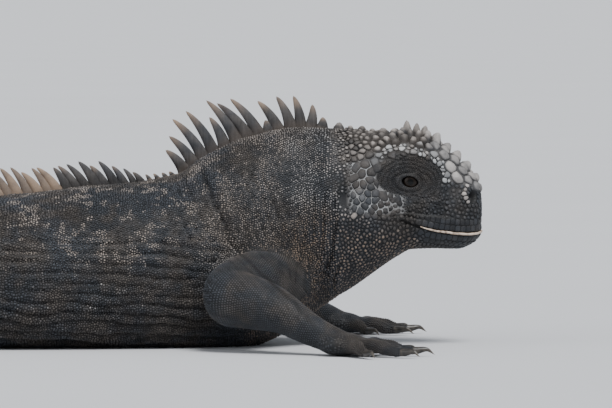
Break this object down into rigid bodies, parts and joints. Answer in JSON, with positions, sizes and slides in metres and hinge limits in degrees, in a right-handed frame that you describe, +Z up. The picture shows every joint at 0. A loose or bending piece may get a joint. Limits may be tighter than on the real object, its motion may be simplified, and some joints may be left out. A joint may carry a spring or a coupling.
{
  "type": "marine iguana",
  "caption": "Life-size still marine iguana that rests on its belly with the head raised, a spiny crest from nape to tail, legs out to the sides and the tail laid in a gentle curve.",
  "frame": {"origin": "on the floor, in the flat that the belly rests on, under the middle of the belly", "axes": "+X towards the snout, +Y towards the animal's left side, +Z up"},
  "size_m": [0.8045, 0.2942, 0.1181],
  "materials": {
    "scaly_skin": "rough, dry scales, dark slate grey",
    "claw_horn": "smooth dark horn",
    "eye": "wet and glossy"
  },
  "bodies": {
    "root": {"eye_left": "eye", "eye_right": "eye", "foot_claw_1_left": "claw_horn", "foot_claw_1_right": "claw_horn", "foot_claw_2_left": "claw_horn", "foot_claw_2_right": "claw_horn", "foot_claw_3_left": "claw_horn", "foot_claw_3_right": "claw_horn", "foot_claw_4_left": "claw_horn", "foot_claw_4_right": "claw_horn", "foot_claw_5_left": "claw_horn", "foot_claw_5_right": "claw_horn", "foot_left": "scaly_skin", "foot_right": "scaly_skin", "forearm_left": "scaly_skin", "forearm_right": "scaly_skin", "hand_claw_1_left": "claw_horn", "hand_claw_1_right": "claw_horn", "hand_claw_2_left": "claw_horn", "hand_claw_2_right": "claw_horn", "hand_claw_3_left": "claw_horn", "hand_claw_3_right": "claw_horn", "hand_claw_4_left": "claw_horn", "hand_claw_4_right": "claw_horn", "hand_claw_5_left": "claw_horn", "hand_claw_5_right": "claw_horn", "hand_left": "scaly_skin", "hand_right": "scaly_skin", "head": "scaly_skin", "neck": "scaly_skin", "shin_left": "scaly_skin", "shin_right": "scaly_skin", "tail_base": "scaly_skin", "tail_front": "scaly_skin", "tail_rear": "scaly_skin", "tail_tip": "scaly_skin", "thigh_left": "scaly_skin", "thigh_right": "scaly_skin", "torso": "scaly_skin", "upper_arm_left": "scaly_skin", "upper_arm_right": "scaly_skin"}
  },
  "joints": []
}
